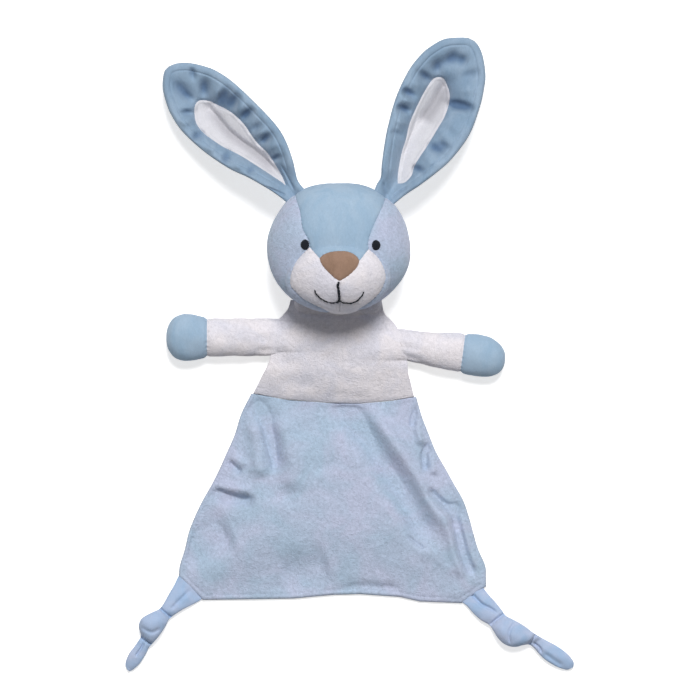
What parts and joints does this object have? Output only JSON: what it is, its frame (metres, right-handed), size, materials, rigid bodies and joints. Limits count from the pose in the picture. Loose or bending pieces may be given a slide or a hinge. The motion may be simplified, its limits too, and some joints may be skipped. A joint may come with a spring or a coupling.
{
  "type": "comfort blanket lovey",
  "caption": "Soft bunny comforter: stuffed head with long ears, padded chest and arms, and a flat two-layer skirt with knotted corner tails.",
  "frame": {"origin": "under the middle of the chest's back, on the surface that the toy lies on", "axes": "+Y towards the ears, +X to the right as the toy is seen from the front, +Z out of the face"},
  "size_m": [0.2492, 0.353, 0.0661],
  "materials": {
    "velour_blue": "mid-blue short velour",
    "plush_pale_blue": "pale-blue short-pile plush",
    "plush_white": "white short-pile plush",
    "nose_taupe": "taupe short velour",
    "thread_black": "matt embroidery thread",
    "tail_blue": "smooth blue knit",
    "wadding": "white polyester wadding"
  },
  "bodies": {
    "torso": {"chest_front": "plush_white", "chest_back": "plush_white", "chest_wadding": "wadding"},
    "neck": {"neck_wadding": "wadding"},
    "head": {"head_filling": "wadding", "forehead_panel": "velour_blue", "head_side_left": "plush_pale_blue", "head_side_right": "plush_pale_blue", "head_back_left": "plush_pale_blue", "head_back_right": "plush_pale_blue", "muzzle_left": "plush_white", "muzzle_right": "plush_white", "nose_panel": "nose_taupe", "eye_left": "thread_black", "eye_right": "thread_black", "mouth_stitch_left": "thread_black", "mouth_stitch_right": "thread_black"},
    "ear_left": {"ear_rim_left": "velour_blue", "ear_lining_left": "plush_white", "ear_back_left": "velour_blue", "ear_wadding_left": "wadding"},
    "ear_right": {"ear_rim_right": "velour_blue", "ear_lining_right": "plush_white", "ear_back_right": "velour_blue", "ear_wadding_right": "wadding"},
    "arm_left": {"sleeve_left": "plush_white", "paw_left": "velour_blue", "arm_filling_left": "wadding"},
    "arm_right": {"sleeve_right": "plush_white", "paw_right": "velour_blue", "arm_filling_right": "wadding"},
    "skirt": {"skirt_front": "plush_pale_blue", "skirt_back": "plush_pale_blue"},
    "tail_left": {"tail_left": "tail_blue"},
    "tail_right": {"tail_right": "tail_blue"}
  },
  "joints": [
    {"name": "neck_nod", "type": "hinge", "parent": "torso", "child": "neck", "pos_m": [0, 0.029, 0.013], "axis": [1, 0, 0], "range_deg": [-30, 25]},
    {"name": "head_turn", "type": "hinge", "parent": "neck", "child": "head", "pos_m": [0, 0.029, 0.013], "axis": [0, 0.8944, 0.4472], "range_deg": [-35, 35]},
    {"name": "ear_left_flop", "type": "hinge", "parent": "head", "child": "ear_left", "pos_m": [-0.02652, 0.09346, 0.0295], "axis": [0.7193, 0.6947, 0], "range_deg": [-60, 90]},
    {"name": "ear_right_flop", "type": "hinge", "parent": "head", "child": "ear_right", "pos_m": [0.02703, 0.09312, 0.0295], "axis": [0.891, -0.454, 0], "range_deg": [-60, 90]},
    {"name": "arm_left_fold", "type": "hinge", "parent": "torso", "child": "arm_left", "pos_m": [-0.03804, 0.01244, 0.008], "axis": [0.1626, 0.9867, 0], "range_deg": [-45, 75]},
    {"name": "arm_right_fold", "type": "hinge", "parent": "torso", "child": "arm_right", "pos_m": [0.03759, 0.00785, 0.008], "axis": [0.2827, -0.9592, 0], "range_deg": [-45, 75]},
    {"name": "skirt_fold", "type": "hinge", "parent": "torso", "child": "skirt", "pos_m": [0, -0.022, 0.00155], "axis": [-1, 0, 0], "range_deg": [-85, 85]},
    {"name": "tail_left_swing", "type": "hinge", "parent": "skirt", "child": "tail_left", "pos_m": [-0.0822, -0.12636, 0.00155], "axis": [-0.7178, 0.6962, 0], "range_deg": [-75, 80]},
    {"name": "tail_right_swing", "type": "hinge", "parent": "skirt", "child": "tail_right", "pos_m": [0.07569, -0.13007, 0.00155], "axis": [-0.8242, -0.5662, 0], "range_deg": [-75, 80]}
  ]
}
